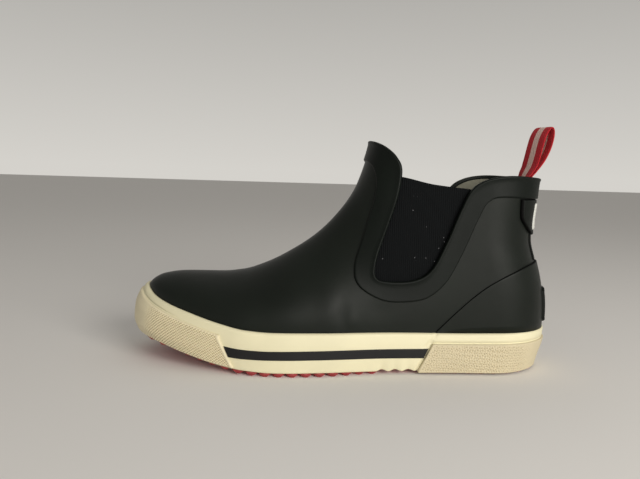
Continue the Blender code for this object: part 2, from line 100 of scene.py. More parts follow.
WALL, GAP, TUCK = 1.8, 0.3, 0.35
FOXING_FOOT = 2.3
RIM_TOP, RIM_FOOT, RIM_INSET = 2.0, 1.4, 2.6
# The foxing's foot stands out at the ball on the outer side.
BALL_FLARE, BALL_X, BALL_REACH = 2.2, -38.0, 34.0
INSOLE_THICK = 3.5
LUG_PITCH, LUG_WIDTH, LUG_WAVE, LUG_WAVE_STEP = 8.2, 7.0, 1.8, 10.5
LUG_SINK, LUG_LEAST_POINTS = 0.35, 4
LUG_ROWS = ((-123.4, 18), (61.0, 8))
# How far the lugs' ends stand out from the rim, and where they draw back under the waist and the toe.
LUG_OUT, LUG_RETREAT = 2.6, 3.2
WAIST_RETREAT, TOE_RETREAT, TIP_RETURN = (-18.0, 36.0), (62.0, 20.0), (106.0, 9.0)
TIP_RETURN_SHARE = 0.8
# A lug in section: share of its width and of its height.
LUG_SECTION = (
    (-0.5, 1.0), (-0.45, 0.9), (-0.16, 0.05), (-0.1, 0.0), (0.1, 0.0), (0.16, 0.05),
    (0.45, 0.9), (0.5, 1.0),
)

# Side view outlines (x, z).
OPENING = (
    (4.0, 149.5), (14.9, 144.9), (23.2, 140.3), (29.5, 134.4), (33.0, 126.0), (30.9, 109.4),
    (25.4, 91.3), (19.1, 72.0), (18.2, 60.4), (26.0, 57.4), (42.6, 58.5), (53.6, 65.6),
    (62.9, 84.2), (69.8, 102.0), (76.4, 115.4), (85.4, 121.6), (98.0, 124.3), (113.0, 124.3),
    (131.0, 123.0), (150.0, 121.5),
)
TRIM_EDGE = (
    (0.0, 135.5), (11.8, 132.6), (17.6, 124.0), (17.4, 109.0), (10.3, 83.5), (5.2, 66.0),
    (8.0, 54.5), (22.0, 46.3), (36.3, 44.9), (51.0, 47.6), (63.0, 58.0), (72.5, 76.0),
    (81.6, 98.0), (87.4, 108.2), (98.0, 111.2), (131.0, 110.0), (150.0, 109.0),
)
# Knots of the opening against those of the trim's outer edge, between the front and the back.
BAND_KNOTS = (
    (4.0, 2.0), (5.0, 3.0), (7.0, 5.0), (8.0, 6.0), (9.0, 7.0), (10.0, 8.5),
    (11.0, 10.0), (12.0, 11.0), (13.0, 12.0), (15.0, 13.0), (16.0, 14.0),
)
GORE_EDGE = (
    (27.0, 122.8), (24.4, 109.4), (18.6, 91.3), (12.4, 71.0), (13.0, 56.0), (25.0, 51.2),
    (43.0, 52.3), (57.0, 60.8), (67.5, 80.0), (75.0, 98.0), (81.5, 113.0), (82.0, 115.2),
)
GORE_DIP = (54.0, 118.0)
COUNTER_EDGE = (
    (54.0, 23.0), (61.2, 30.2), (69.0, 38.0), (80.4, 48.6), (91.7, 57.1), (105.1, 64.2),
    (121.3, 69.4), (150.0, 71.5),
)
BUMPER_END, BUMPER_FOOT = (-75.0, -66.0), 0.03
BUMPER_TOP = ((-128.5, 0.90), (-117.0, 0.86), (-97.0, 0.80), (-75.0, 0.77))
HEEL_END, HEEL_TOP = (54.7, 46.2), 0.74
STRIPE_CLEAR = 0.4
STRIPE_FOOT = ((-75.0, 0.265), (-40.0, 0.335), (54.7, 0.355))
STRIPE_TOP = ((-75.0, 0.520), (-40.0, 0.565), (54.7, 0.610))
LOOP = (
    (118.9, 107.0), (118.9, 116.0), (119.0, 123.0), (121.2, 127.5), (124.0, 132.0), (126.8, 137.0),
    (129.4, 143.5), (130.8, 150.0), (130.8, 154.6), (129.6, 156.6), (127.6, 154.8), (125.6, 150.5),
    (124.1, 144.5), (122.8, 138.0), (121.2, 131.5), (119.1, 127.0), (117.3, 122.5), (117.1, 115.0),
    (117.1, 107.0),
)
LOOP_WIDTH, LOOP_THICK, LOOP_Y = 16.0, 1.2, -1.5
LOOP_TURN = ((107.0, 4.0), (122.0, 5.0), (128.0, 15.0), (135.0, 20.0), (158.0, 20.0))
LOOP_STEPS = 3

# How finely lines are measured, and how often places on the upper are halved.
DENSE, OUTLINE_SAMPLES, EDGE_SAMPLES, HALVINGS = 4000, 4001, 400, 40
NORMAL_STEP = 0.05


def smooth(rows, at):
    """A monotone cubic through rows of (place, value)."""
    place, value = np.array(rows, float).T
    step = np.diff(place)
    slope = np.diff(value) / step
    tangent = np.concatenate([slope[:1], np.zeros(len(slope) - 1), slope[-1:]])
    turning = slope[1:] * slope[:-1] <= 0
    before, after = 2 * step[1:] + step[:-1], step[1:] + 2 * step[:-1]
    safe_before = np.where(turning, 1.0, slope[:-1])
    safe_after = np.where(turning, 1.0, slope[1:])
    mean = (before + after) / (before / safe_before + after / safe_after)
    tangent[1:-1] = np.where(turning, 0.0, mean)
    at = np.clip(at, place[0], place[-1])
    k = np.clip(np.searchsorted(place, at) - 1, 0, len(step) - 1)
    t = (at - place[k]) / step[k]
    rise = (value[k + 1] - value[k]) * t * t * (3 - 2 * t)
    bend = step[k] * (tangent[k] * t * (1 - t) ** 2 - tangent[k + 1] * t * t * (1 - t))
    return value[k] + rise + bend


def ease(at, begin, length):
    t = np.clip((at - begin) / length, 0, 1)
    return t * t * (3 - 2 * t)


def bell(x, middle, reach):
    return np.exp(-(((x - middle) / reach) ** 2))


def ripple(at, pitch):
    return np.cos(2 * np.pi * at / pitch)


def unit(vectors):
    return vectors / np.linalg.norm(vectors, axis=-1, keepdims=True)


def path_length(points, axis=0):
    """Distances along lines of points, from nought at the first."""
    run = np.linalg.norm(np.diff(points, axis=axis), axis=-1).cumsum(axis)
    return np.insert(run, 0, 0.0, axis)


def normals(place, first, second):
    """Directions out of a surface that has a place for two coordinates."""
    along = place(first + NORMAL_STEP, second) - place(first - NORMAL_STEP, second)
    rise = place(first, second + NORMAL_STEP) - place(first, second - NORMAL_STEP)
    return unit(np.cross(along, rise))


def from_table(rows, k, at):
    """The values in column k of a table, smoothed over its first column."""
    return smooth([(row[0], row[k]) for row in rows], at)


def section(column, x):
    return from_table(SECTIONS, SECTION_COLUMNS.index(column), x)


def bed_level(x):
    return section("lift", x) + section("bed", x)


def lean(rows, height, x):
    """Offset out from the feather outline, blended between the side, the toe and the heel."""
    side, toe, heel = (from_table(rows, k, height) for k in (1, 2, 3))
    at_toe, at_heel = ease(-x, *TOE_LEAN_EASE), ease(x, *HEEL_LEAN_EASE)
    return side * (1 - at_toe - at_heel) + toe * at_toe + heel * at_heel


def on_spline(points, knots):
    """Places on the Catmull-Rom curve through the points, at fractional knot numbers."""
    p = np.array(points, float)
    p = np.concatenate([2 * p[:1] - p[1:2], p, 2 * p[-1:] - p[-2:-1]])
    k = np.clip(np.floor(knots).astype(int), 0, len(points) - 2)
    t = (knots - k)[:, None]
    a, b, c, d = p[k], p[k + 1], p[k + 2], p[k + 3]
    odd = (2 * a - 5 * b + 4 * c - d) * t**2 + (3 * b - a - 3 * c + d) * t**3
    return (2 * b + (c - a) * t + odd) / 2


def spline_line(points, count):
    return on_spline(points, np.linspace(0, len(points) - 1, count))


def round_end(distance, length, power):
    """One inside a section, falling to nought in a round end."""
    t = np.clip(distance / length, 0, 1)
    return np.clip(1 - t**power, 0, 1) ** (1 / power)


def centre(x):
    return TOE_SHIFT * ease(-x, *TOE_SHIFT_EASE)


def broad(column, x, z):
    """Half-width of the upper on one side, before its round back."""
    shaft = ease(z, *SHAFT_EASE)
    width = section(column, x) * (1 - shaft) + SHAFT_HALF * shaft
    width = width * round_end(TOE_X + TOE_CAP - x, TOE_CAP, TOE_POWER)
    foot = section("feather", x)
    room = np.maximum(smooth(RIDGE, x) - foot, TINY)
    up = np.clip((z - foot) / room, 0, 1)
    return width * (1 - up**ARCH_POWER) ** (1 / ARCH_ROOT)


def half_width(column, x, z):
    back = smooth(BACK, z)
    return broad(column, x, z) * round_end(x - back + HEEL_CAP, HEEL_CAP, HEEL_POWER)


def ridge_table():
    x = TOE_X + (RIDGE_TOP - TOE_X) * np.linspace(0, 1, EDGE_SAMPLES) ** 2
    z = smooth(RIDGE, x)
    run = path_length(np.stack([x, z], 1))
    return run / run[-1], x, z


RIDGE_RUN, RIDGE_X, RIDGE_Z = ridge_table()


def back_line(up):
    """The upper's back in side view (x, z), from the feather line (0) to past the collar (1)."""
    z = HEEL_FEATHER + (BACK_TOP - HEEL_FEATHER) * up
    return smooth(BACK, z), z


def side_view(up, turn):
    """Side view place (x, z) on the upper: up as for the back, turn from the heel by the outer side."""
    front_x, front_z = np.interp(up, RIDGE_RUN, RIDGE_X), np.interp(up, RIDGE_RUN, RIDGE_Z)
    back_x, back_z = back_line(up)
    share = (1 - np.cos(turn)) / 2
    feather = section("feather", HEEL_X + (TOE_X - HEEL_X) * share)
    x = back_x + (front_x - back_x) * share
    z = back_z + (front_z - back_z) * share
    return x, z + (1 - up) ** 2 * (feather - HEEL_FEATHER - (TOE_FEATHER - HEEL_FEATHER) * share)


def surface(up, turn):
    """Points of the outside of the upper."""
    x, z = side_view(up, turn)
    lateral = centre(x) - half_width("lateral", x, z)
    medial = centre(x) + half_width("medial", x, z)
    return np.stack([x, np.where(np.sin(turn) >= 0, lateral, medial), z], -1)


def raised(up, turn, offset):
    """Points a distance out from the upper."""
    step, turn_step = 6e-3, 2e-2
    along = surface(up, turn + turn_step) - surface(up, turn - turn_step)
    rise = surface(np.clip(up + step, 0, 1), turn) - surface(np.clip(up - step, 0, 1), turn)
    return surface(up, turn) + unit(np.cross(rise, along)) * np.asarray(offset)[..., None]


def on_upper(x, z):
    """The (up, turn) of places in side view, on the outer side of the foot."""
    low, high = np.zeros(len(x)), np.ones(len(x))
    for _ in range(HALVINGS):
        up = (low + high) / 2
        front, back = np.interp(up, RIDGE_RUN, RIDGE_X), back_line(up)[0]
        share = np.clip((back - x) / (back - front), 0, 1)
        turn = np.arccos(1 - 2 * share)
        below = side_view(up, turn)[1] < z
        low, high = np.where(below, up, low), np.where(below, high, up)
    return up, turn


def inside_knots(points):
    """First and last knot of a side view line that lie on the upper, between its ridge and its back."""
    knots = np.linspace(0, len(points) - 1, DENSE)
    x, z = on_spline(points, knots).T
    ridge_x = np.interp(z, RIDGE_Z, RIDGE_X)
    found = knots[(x >= ridge_x) & (x <= smooth(BACK, z))]
    return found[0], found[-1]


def loop_curve(points, knots):
    """Closed curve round the upper, as (up, turn) from the heel, from its half in side view."""
    x, z = on_spline(points, knots).T
    up, turn = on_upper(x, z)
    turn[0], turn[-1] = np.pi, 0.0
    up, turn = up[::-1], turn[::-1]
    return np.concatenate([up, up[-2:0:-1]]), np.concatenate([turn, 2 * np.pi - turn[-2:0:-1]])


def outline(turn):
    return surface(np.zeros_like(turn), turn)


def wall(turn, height, rows, extra=0.0, level=None):
    """Points on the sole's side at a height share or a level, pushed out by an extra offset."""
    step = 2e-2
    base = outline(turn)
    run = outline(turn + step) - outline(turn - step)
    out = unit(np.stack([-run[..., 1], run[..., 0]], -1))
    x = base[..., 0]
    low = FOXING_FOOT + section("lift", x)
    z = low + (base[..., 2] - low) * height if level is None else level
    share = np.clip((z - low) / (base[..., 2] - low), 0, 1)
    push = lean(rows, share, x) + extra
    if rows is FOXING_LEAN:
        push = push + BALL_FLARE * (1 - share) * bell(x, BALL_X, BALL_REACH) * np.clip(np.sin(turn), 0, 1)
    return np.concatenate([base[..., :2] + out * push[..., None], z[..., None]], -1)


def even_turns(count):
    """Turns at equal distances round the feather line."""
    turn = np.linspace(0, 2 * np.pi, OUTLINE_SAMPLES)
    run = path_length(outline(turn)[:, :2])
    return np.interp(np.arange(count) / count * run[-1], run, turn)


def turn_at(x, side):
    turn = np.arccos(np.clip((2 * x - HEEL_X - TOE_X) / (HEEL_X - TOE_X), -1, 1))
    return turn if side == "lateral" else 2 * np.pi - turn


def webbing_frame(steps):
    """Centre line of the pull loop, with its directions across the width and through the thickness."""
    line = spline_line(LOOP, (len(LOOP) - 1) * steps + 1)
    run = unit(np.gradient(line, axis=0))
    turn = np.radians(smooth(LOOP_TURN, line[:, 1]))
    wide = np.stack([np.sin(turn), -np.cos(turn), 0 * turn], 1)
    along = np.stack([run[:, 0] * np.cos(turn), run[:, 0] * np.sin(turn), run[:, 1]], 1)
    thick = unit(np.cross(wide, along))
    middle = np.stack([line[:, 0], np.full(len(line), LOOP_Y), line[:, 1]], 1)
    return middle, wide, thick


def cad_shift():
    """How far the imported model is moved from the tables' frame, from the pull loop's box."""
    middle, wide, thick = webbing_frame(LOOP_STEPS)
    reach = np.abs(wide) * LOOP_WIDTH / 2 + np.abs(thick) * LOOP_THICK / 2
    low, high = (np.array(corner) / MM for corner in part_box("pull_loop"))
    return (low + high - (middle - reach).min(0) - (middle + reach).max(0)) / 2


SHIFT = cad_shift()


def add_object(name, data):
    obj = bpy.data.objects.new(name, data)
    scene.collection.objects.link(obj)
    return obj


def make_piece(name, points, faces, materials, node, face_slots=None):
    """A smooth-shaded mesh object in the row frame, riding on the boot."""
    mesh = bpy.data.meshes.new(name)
    mesh.from_pydata(((np.asarray(points).reshape(-1, 3) + SHIFT) * MM).tolist(), [], faces)
    for material in materials:
        mesh.materials.append(material)
    mesh.polygons.foreach_set("use_smooth", [True] * len(mesh.polygons))
    if face_slots is not None:
        mesh.polygons.foreach_set("material_index", np.asarray(face_slots, np.int32))
    mesh.validate()
    obj = add_object(name, mesh)
    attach(obj, "root")
    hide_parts(node)
    return obj


def grid_faces(rows, columns, close_rows=False, close_columns=False, flip=False):
    """Quads of a grid of points, row after row."""
    index = np.arange(rows * columns).reshape(rows, columns)
    if close_rows:
        index = np.concatenate([index, index[:1]])
    if close_columns:
        index = np.concatenate([index, index[:, :1]], 1)
    quads = np.stack([index[:-1, :-1], index[:-1, 1:], index[1:, 1:], index[1:, :-1]], -1).reshape(-1, 4)
    return (quads[:, ::-1] if flip else quads).tolist()


def tube_faces(rows, columns, flip=False):
    """Quads of a grid closed from its last row to its first, with a face on each end."""
    ends = [tuple(range(0, rows * columns, columns)), tuple(range(rows * columns - 1, 0, -columns))]
    return grid_faces(rows, columns, True, False, flip) + [end[::-1] if flip else end for end in ends]


def cap_faces(first, columns, flip=False):
    """Quads straight across a ring of points, from one side of the sole to the other."""
    faces = []
    for j in range(columns // 2):
        ends = (j, j + 1, (columns - j - 1) % columns, (columns - j) % columns)
        face = tuple(dict.fromkeys(first + end for end in ends))
        faces.append(face[::-1] if flip else face)
    return faces


def closed_faces(rows, columns):
    """Quads of rings one over the other, with the lowest and the highest closed across."""
    sides = grid_faces(rows, columns, close_columns=True, flip=True)
    return sides + cap_faces(0, columns) + cap_faces((rows - 1) * columns, columns, True)


def band_slots(marks, columns):
    """Material slots of a tube's faces from a mark for each row, with none for its two ends."""
    return [int(mark) for mark in marks for _ in range(columns - 1)] + [0, 0]


def thicken(obj, thickness, back_slot=0):
    """Gives a sheet a wall inwards."""
    step = obj.modifiers.new("wall", "SOLIDIFY")
    step.thickness = thickness * MM
    step.offset = -1
    step.material_offset = back_slot


def rounded(distance, radius):
    """Nought at an edge, rising round to one at the radius."""
    t = np.clip(distance / radius, 0, 1)
    return np.sqrt(1 - (1 - t) ** 2)


# The first even share, as a multiple of the last crowded one.
CROWD_NEXT = 1.6


def crowded(count, near=(0.0, 0.004, 0.012, 0.026)):
    """Shares from 0 to 1 that lie closer at both ends."""
    near = np.array(near)
    first = CROWD_NEXT * near[-1]
    return np.concatenate([near, np.linspace(first, 1 - first, count), 1 - near[::-1]])


# Materials: colours are linear. A wave texture at a scale of one repeats after about this many metres.
WAVE_PERIOD = 0.31


def new_material(name, colour, rough, specular=0.5, sheen=0.0):
    material = bpy.data.materials.new(name)
    material.use_nodes = True
    shader = material.node_tree.nodes["Principled BSDF"]
    material.diffuse_color = shader.inputs["Base Color"].default_value = (*colour, 1.0)
    shader.inputs["Roughness"].default_value = rough
    shader.inputs["Specular IOR Level"].default_value = specular
    shader.inputs["Sheen Weight"].default_value = sheen
    return material


class Nodes:
    """Adds nodes before a shader, on the object's own coordinates in metres unless others are named."""

    def __init__(self, owner, shader="Principled BSDF", coordinates="Object"):
        self.tree = owner.node_tree
        self.shader = self.tree.nodes[shader]
        self.place = self.tree.nodes.new("ShaderNodeTexCoord").outputs[coordinates]

    def feed(self, target, value):
        """Links a socket to an input, or sets the input to a value."""
        if isinstance(value, bpy.types.NodeSocket):
            self.tree.links.new(value, target)
        else:
            target.default_value = value

    def add(self, kind, inputs):
        node = self.tree.nodes.new(kind)
        for name, value in inputs.items():
            self.feed(node.inputs[name], value)
        return node

    def noise(self, scale, detail=3.0):
        inputs = {"Vector": self.place, "Scale": scale, "Detail": detail}
        return self.add("ShaderNodeTexNoise", inputs).outputs["Fac"]

    def cells(self, scale):
        return self.add("ShaderNodeTexVoronoi", {"Vector": self.place, "Scale": scale}).outputs["Distance"]

    def wave(self, pitch, direction, distortion):
        scale = WAVE_PERIOD / (pitch * MM)
        inputs = {"Vector": self.place, "Scale": scale, "Distortion": distortion, "Detail": 1.0}
        node = self.add("ShaderNodeTexWave", inputs)
        node.bands_direction = direction
        return node.outputs["Fac"]

    def ramp(self, fac, stops):
        node = self.add("ShaderNodeValToRGB", {"Fac": fac})
        ramp = node.color_ramp
        while len(ramp.elements) < len(stops):
            ramp.elements.new(0.5)
        for element, (place, colour) in zip(ramp.elements, stops):
            element.position = place
            element.color = (*colour, 1.0)
        return node.outputs["Color"]

    def mix(self, fac, first, second, kind="MIX"):
        node = self.tree.nodes.new("ShaderNodeMix")
        node.data_type = "RGBA"
        node.blend_type = kind
        factor = next(socket for socket in node.inputs if socket.type == "VALUE")
        colours = [socket for socket in node.inputs if socket.type == "RGBA"]
        for target, value in zip((factor, *colours), (fac, first, second)):
            self.feed(target, value)
        return next(socket for socket in node.outputs if socket.type == "RGBA")

    def span(self, fac, low, high):
        inputs = {"Value": fac, "To Min": low, "To Max": high}
        return self.add("ShaderNodeMapRange", inputs).outputs["Result"]

    def shade(self, name, source):
        self.feed(self.shader.inputs[name], source)

    def bump(self, height, depth, strength=1.0, after=None):
        inputs = {"Height": height, "Distance": depth * MM, "Strength": strength}
        if after:
            inputs["Normal"] = after
        normal = self.add("ShaderNodeBump", inputs).outputs["Normal"]
        self.shade("Normal", normal)
        return normal


def tinted(stops, colour=(1.0, 1.0, 1.0)):
    """Ramp stops of (place, level) as levels of a colour."""
    return [(place, tuple(c * level for c in colour)) for place, level in stops]


def shades(colour, spread, low=0.3, high=0.7):
    """Ramp stops a little under and over a colour."""
    return tinted(((low, 1 - spread), (high, 1 + spread)), colour)


# Noise in the rubber as (scale, detail): cloudy colour, uneven gloss, fine grain and soft unevenness.
CLOUDS, GLOSS, GRAIN, WAVES = (28.0, 4.0), (60.0, 5.0), (2600.0, 2.0), (130.0, 2.0)
WAVES_SHARE, WAVES_STRENGTH = 4, 0.5


def rubber(name, colour, rough, spread=0.1, grain=0.03, specular=0.5):
    """Dipped or moulded rubber: faint cloudiness, uneven gloss, fine grain."""
    material = new_material(name, colour, sum(rough) / 2, specular)
    nodes = Nodes(material)
    nodes.shade("Base Color", nodes.ramp(nodes.noise(*CLOUDS), shades(colour, spread)))
    nodes.shade("Roughness", nodes.span(nodes.noise(*GLOSS), *rough))
    fine = nodes.bump(nodes.noise(*GRAIN), grain)
    nodes.bump(nodes.noise(*WAVES), grain * WAVES_SHARE, WAVES_STRENGTH, fine)
    return material


TEXTILE_ROUGH, TEXTILE_SPECULAR, YARN_SWAY, YARN_DARK = 0.9, 0.2, 0.4, 0.1
WEAR_SCALE, WEAR_MOST = 90.0, 0.6


def textile(name, colour, pitch, spread=0.15, depth=0.12, sheen=0.2):
    """Close weave with its yarns across and along, at a pitch in millimetres, worn even in patches."""
    material = new_material(name, colour, TEXTILE_ROUGH, TEXTILE_SPECULAR, sheen)
    nodes = Nodes(material)
    weft, warp = (nodes.wave(pitch, direction, YARN_SWAY) for direction in "ZX")
    weave = nodes.mix(1.0, weft, warp, "MULTIPLY")
    yarn = nodes.ramp(weave, shades(colour, spread, low=YARN_DARK))
    worn = nodes.span(nodes.noise(WEAR_SCALE), 0.0, WEAR_MOST)
    nodes.shade("Base Color", nodes.mix(worn, yarn, (*colour, 1.0)))
    nodes.bump(weave, depth)
    return material


BLACK = rubber("matte_black_rubber", (0.0064, 0.0086, 0.0064), (0.38, 0.50), 0.15, specular=0.17)
TRIM_BLACK = rubber("trim_black_rubber", (0.0036, 0.0054, 0.0040), (0.40, 0.52), 0.15, specular=0.13)
# Near black for painted shade: the counter's seam line and the back pieces' rounded edges.
SEAM_SHADE_BLACK = rubber("painted_seam_shade", (0.0015, 0.0015, 0.0015), (0.6, 0.7), specular=0.1)
STRIPE_BLACK = rubber("stripe_black_rubber", (0.0125, 0.0122, 0.0128), (0.52, 0.64), specular=0.2)
CREAM = rubber("cream_rubber", (0.735, 0.685, 0.47), (0.5, 0.62), 0.05, 0.02)
CREAM_GRAIN = rubber("cream_grain_rubber", (0.74, 0.66, 0.455), (0.55, 0.68), 0.05)
HEEL_CREAM = rubber("cream_pebble_rubber", (0.585, 0.51, 0.345), (0.55, 0.68), 0.05)
# Painted shade: darker creams for the hollows of the heel's grain and the bumper's knurl grooves.
CREAM_SHADE = rubber("cream_grain_painted_shade", (0.40, 0.33, 0.205), (0.6, 0.72), 0.06)
CREAM_GROOVE_SHADE = rubber("cream_knurl_groove_shade", (0.42, 0.33, 0.19), (0.65, 0.75), 0.08)
RED = rubber("red_tread_rubber", (0.42, 0.055, 0.06), (0.5, 0.66), 0.12, 0.05)
LABEL = rubber("pale_label_rubber", (0.55, 0.55, 0.52), (0.4, 0.55), 0.03, 0.02)
LINING = textile("grey_lining", (0.19, 0.185, 0.145), 0.9)
FOOTBED = textile("footbed_cloth", (0.24, 0.24, 0.21), 1.2)
WEB_RED = textile("red_webbing", (0.50, 0.018, 0.028), 0.8, 0.22, 0.1, 0.1)
WEB_PALE = textile("pale_webbing", (0.74, 0.52, 0.46), 0.8, 0.1, 0.1, 0.1)


ELASTIC_COLOUR, LINT_COLOUR = (0.0045, 0.0052, 0.0058), (0.25, 0.25, 0.26, 1.0)
ELASTIC_PITCH, ELASTIC_SWAY, ELASTIC_SPREAD, ELASTIC_BUMP = 0.65, 0.6, 0.3, 0.1
# Lint: specks in the middles of cells, in patches of a noise, both as (place, level) stops.
SPECK_SCALE, SPECK_STOPS = 210.0, ((0.045, 1.0), (0.075, 0.0))
LINT_NOISE, LINT_STOPS = (45.0, 1.0), ((0.50, 0.0), (0.58, 0.7))


def elastic():
    """Ribbed elastic with a few pale specks of lint."""
    material = new_material("ribbed_elastic", ELASTIC_COLOUR, TEXTILE_ROUGH, specular=0.1, sheen=0.01)
    nodes = Nodes(material)
    rib = nodes.wave(ELASTIC_PITCH, "X", ELASTIC_SWAY)
    cloth = nodes.ramp(rib, shades(ELASTIC_COLOUR, ELASTIC_SPREAD))
    speck = nodes.ramp(nodes.cells(SPECK_SCALE), tinted(SPECK_STOPS))
    patch = nodes.ramp(nodes.noise(*LINT_NOISE), tinted(LINT_STOPS))
    nodes.shade("Base Color", nodes.mix(nodes.mix(1.0, speck, patch, "MULTIPLY"), cloth, LINT_COLOUR))
    nodes.bump(rib, ELASTIC_BUMP)
    return material


ELASTIC = elastic()

# The upper: dents of the photo as (x, z, reach along, reach up, depth) on the outer side.
DENTS = (
    (-2.0, 37.0, 4.0, 7.5, -0.45),
    (4.5, 33.0, 3.0, 5.0, 0.35),
    (-9.0, 44.0, 7.0, 9.0, 0.30),
    (22.0, 40.0, 9.0, 6.0, -0.25),
)
UPPER_COLUMNS, UPPER_ROWS, UPPER_CROWD = 380, 112, 1.25
HEM_HEIGHTS = (0.3, 0.6, 0.9)
RIM_SAMPLES, OVER_ALL = 2500, 400.0


def dents(x, z, turn):
    depth = sum(d * bell(x, a, w) * bell(z, b, h) for a, b, w, h, d in DENTS)
    return depth * (np.sin(turn) > 0)


def in_outline(x, z, polygon):
    """Even-odd test of side view places against a closed outline."""
    inside = np.zeros(len(x), bool)
    for (ax, az), (bx, bz) in zip(polygon, np.roll(polygon, -1, 0)):
        if az == bz:
            continue
        crosses = (az > z) != (bz > z)
        inside ^= crosses & (x < (bx - ax) * (z - az) / (bz - az) + ax)
    return inside


def build_upper():
    turns = np.arange(UPPER_COLUMNS) * 2 * np.pi / UPPER_COLUMNS
    x = outline(turns)[:, 0]
    hem = [wall(turns, 0.0, LAST_LEAN, -TUCK, bed_level(x) + GAP)]
    hem += [wall(turns, height, LAST_LEAN, -TUCK) for height in HEM_HEIGHTS]
    up, turn = np.meshgrid(np.linspace(0, 1, UPPER_ROWS) ** UPPER_CROWD, turns, indexing="ij")
    body = raised(up, turn, dents(*side_view(up, turn), turn))
    points = np.concatenate([np.array(hem), body]).reshape(-1, 3)

    edge = spline_line(OPENING, EDGE_SAMPLES)
    polygon = np.concatenate([edge, [(edge[-1][0], OVER_ALL), (edge[0][0], OVER_ALL)]])
    gone = in_outline(points[:, 0], points[:, 2], polygon)
    faces = np.array(grid_faces(len(hem) + UPPER_ROWS, UPPER_COLUMNS, close_columns=True, flip=True))
    lost = gone[faces].any(1)
    rim = np.setdiff1d(np.unique(faces[lost]), np.flatnonzero(gone))
    first, last = inside_knots(OPENING)
    curve = surface(*loop_curve(OPENING, np.linspace(first, last, RIM_SAMPLES)))
    for k in rim:
        distance = np.linalg.norm(curve - points[k], axis=1)
        points[k] = curve[distance.argmin()]
    faces = faces[~lost]
    used, index = np.unique(faces, return_inverse=True)
    faces = index.reshape(faces.shape).tolist()
    upper = make_piece("upper_rubber", points[used], faces, [BLACK, LINING], "upper")
    thicken(upper, WALL, back_slot=1)


# Collar trim in section: share across from its outer edge to the opening, and height over the upper.
TRIM_SECTION = (
    (0.0, -0.3), (0.0, 0.45), (0.01, 0.9), (0.03, 1.2), (0.06, 1.34), (0.11, 1.32),
    (0.3, 1.22), (0.5, 1.2), (0.7, 1.22), (0.84, 1.3), (0.89, 1.52), (0.935, 1.66),
    (0.97, 1.6), (0.995, 1.25), (1.01, 0.7), (1.016, -0.2), (1.014, -1.1), (1.002, -1.7),
    (0.98, -2.0), (0.9, -2.05), (0.83, -2.0), (0.815, -1.7), (0.815, -1.0), (0.95, -1.0),
    (0.95, -0.3),
)
TRIM_POINTS = 520
TRIM_BACK_EXTRA, COUNTER_BACK_EXTRA = 1.5, 0.6
BACK_EXTRA_EASE = (95.0, 30.0)


def overlay(up, turn, height, back_extra):
    """Points at a height over the upper, in a layer that is thicker towards the back."""
    extra = back_extra * ease(side_view(up, turn)[0], *BACK_EXTRA_EASE) * (height > 0)
    return raised(up, turn, height + extra)


def build_trim():
    open_first, open_last = inside_knots(OPENING)
    edge_first, edge_last = inside_knots(TRIM_EDGE)
    knots = np.linspace(open_first, open_last, DENSE)
    run = path_length(surface(*on_upper(*on_spline(OPENING, knots).T)))
    knots = np.interp(np.linspace(0, run[-1], TRIM_POINTS), run, knots)
    pairs = [(open_first, edge_first), *BAND_KNOTS, (open_last, edge_last)]
    inner_up, inner_turn = loop_curve(OPENING, knots)
    outer_up, outer_turn = loop_curve(TRIM_EDGE, smooth(pairs, knots))
    rings = []
    for share, height in TRIM_SECTION:
        up = outer_up + (inner_up - outer_up) * share
        turn = outer_turn + (inner_turn - outer_turn) * share
        rings.append(overlay(up, turn, height, TRIM_BACK_EXTRA))
    faces = grid_faces(len(rings), len(inner_up), True, True)
    make_piece("collar_band", rings, faces, [TRIM_BLACK], "collar_trim")


COUNTER_HEIGHT, COUNTER_POINTS, COUNTER_SAMPLES = 1.25, 260, 3000
COUNTER_ROWS = (0.0, 0.12, 0.3, 0.5, 0.7, 0.85, 0.95)
# Counter's top edge: distance down from it and height over the upper.
COUNTER_LIP = ((2.2, 1.25), (1.4, 1.25), (0.8, 1.24), (0.35, 1.12), (0.1, 0.8), (0.0, 0.3), (0.0, -0.4))
COUNTER_LEAST_UP, COUNTER_SINK = 0.004, 0.4
# The lowest bands of the lip's side, painted darker as the shade of a seam line.
COUNTER_DARK = 3


def build_counter():
    knots = np.linspace(0, inside_knots(COUNTER_EDGE)[1], COUNTER_SAMPLES)
    up, turn = on_upper(*on_spline(COUNTER_EDGE, knots).T)
    first = np.flatnonzero(up > COUNTER_LEAST_UP)[0]
    run = path_length(surface(up, turn)[first:])
    pick = np.interp(np.linspace(0, run[-1], COUNTER_POINTS), run, np.arange(first, len(knots)))
    up, turn = (np.interp(pick, np.arange(len(knots)), values) for values in (up, turn))
    turn[-1] = 0.0
    up, turn = np.concatenate([up, up[-2::-1]]), np.concatenate([turn, -turn[-2::-1]])
    tall = np.linalg.norm(surface(up, turn) - surface(0 * up, turn), axis=1) + TINY
    lip = [(np.clip(1 - down / tall, 0, 1), height) for down, height in COUNTER_LIP]
    rings = [raised(0 * up, turn, -COUNTER_SINK)]
    rows = [(share * lip[0][0], COUNTER_HEIGHT) for share in COUNTER_ROWS] + lip
    rings += [overlay(up * share, turn, height, COUNTER_BACK_EXTRA) for share, height in rows]
    # The dark bands take the painted seam shade.
    dark = range(len(rings) - 1 - COUNTER_DARK, len(rings) - 1)
    rings += [raised(up * share, turn, -COUNTER_SINK) for share in COUNTER_ROWS[:0:-1]]
    faces = tube_faces(len(rings), len(up))
    slots = band_slots([k in dark for k in range(len(rings))], len(up))
    make_piece("heel_counter", rings, faces, [BLACK, SEAM_SHADE_BLACK], "counter", slots)


